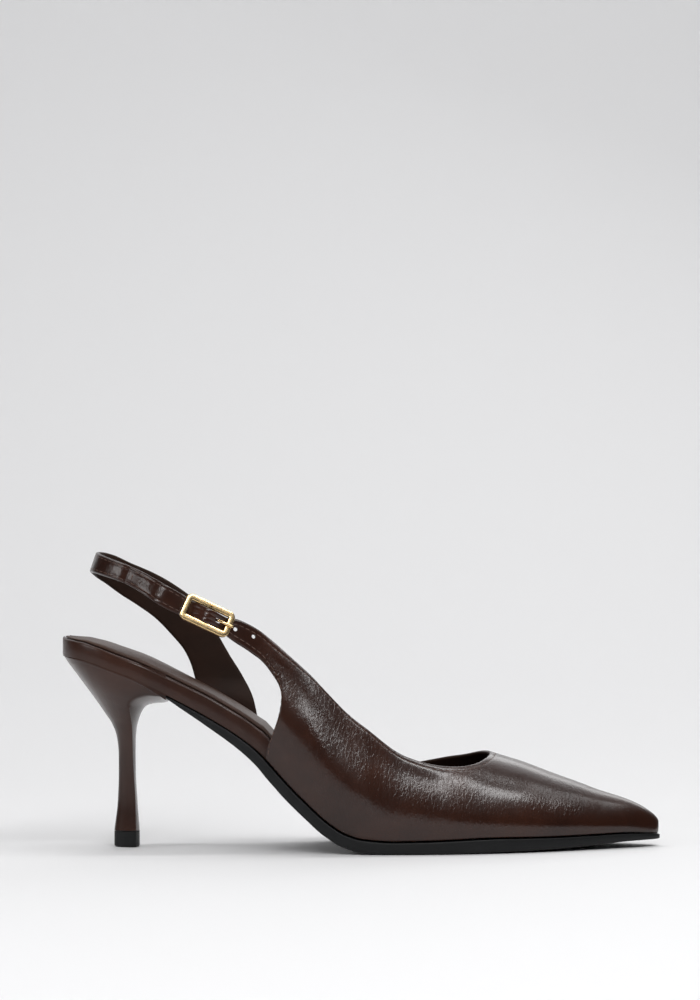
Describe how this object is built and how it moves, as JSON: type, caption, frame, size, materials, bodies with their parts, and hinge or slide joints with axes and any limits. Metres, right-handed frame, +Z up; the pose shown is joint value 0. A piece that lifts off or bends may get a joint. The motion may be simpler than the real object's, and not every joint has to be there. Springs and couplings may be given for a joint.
{
  "type": "slingback pump",
  "caption": "Pointed slingback pump in dark brown leather on a slim flared heel, with a gold-coloured buckle on the outer side.",
  "frame": {"origin": "middle of the shoe's footprint on the floor it stands on", "axes": "+X to the toe, -Y to the lateral (outer) side with the buckle, +Z up from the floor"},
  "size_m": [0.245, 0.0792, 0.1209],
  "materials": {
    "upper_leather": "glossy crinkled dark brown leather",
    "heel_leather": "glossy dark brown leather drawn over the heel",
    "insole_leather": "semi-gloss dark brown leather wrapped round the insole's edge",
    "sock_leather": "smooth brown leather sock",
    "sole_rubber": "satin black",
    "wear_rubber": "satin black",
    "gold_metal": "polished, gold-coloured plating"
  },
  "bodies": {
    "root": {"outsole": "sole_rubber", "insole": "insole_leather", "footbed": "sock_leather", "heel": "heel_leather", "top_piece": "wear_rubber", "upper": "upper_leather", "back_strap": "upper_leather", "buckle_frame": "gold_metal", "buckle_prong": "gold_metal"}
  },
  "joints": []
}
